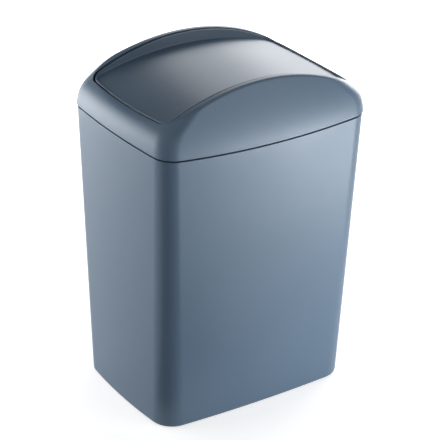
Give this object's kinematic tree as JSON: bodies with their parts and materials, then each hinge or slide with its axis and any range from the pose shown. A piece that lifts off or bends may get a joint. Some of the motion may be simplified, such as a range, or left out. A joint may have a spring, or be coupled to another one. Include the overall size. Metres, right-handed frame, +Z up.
{
  "type": "swing-lid trash can",
  "caption": "Tapered kitchen waste bin with a lift-off arched lid frame and a dished flap that swings both ways and closes itself.",
  "frame": {"origin": "middle of the footprint, at the height of the foot ring's resting face", "axes": "+Z up, X along the long side of the rim, Y along the flap's pivot axis"},
  "size_m": [0.2478, 0.1836, 0.3574],
  "materials": {
    "bucket_plastic": "satin moulded polypropylene, slate blue",
    "lid_plastic": "satin moulded polypropylene, slate blue",
    "flap_plastic": "satin moulded polypropylene, slate blue, a little smoother"
  },
  "bodies": {
    "bucket": {"bucket": "bucket_plastic"},
    "lid_frame": {"lid_frame": "lid_plastic"},
    "swing_flap": {"swing_flap": "flap_plastic"}
  },
  "joints": [
    {"name": "lid_lift", "type": "slide", "parent": "bucket", "child": "lid_frame", "axis": [0, 0, 1], "range_m": [0, 0.09]},
    {"name": "flap_swing", "type": "hinge", "parent": "lid_frame", "child": "swing_flap", "pos_m": [0, 0, 0.3484], "axis": [0, 1, 0], "range_deg": [-90, 90]}
  ]
}
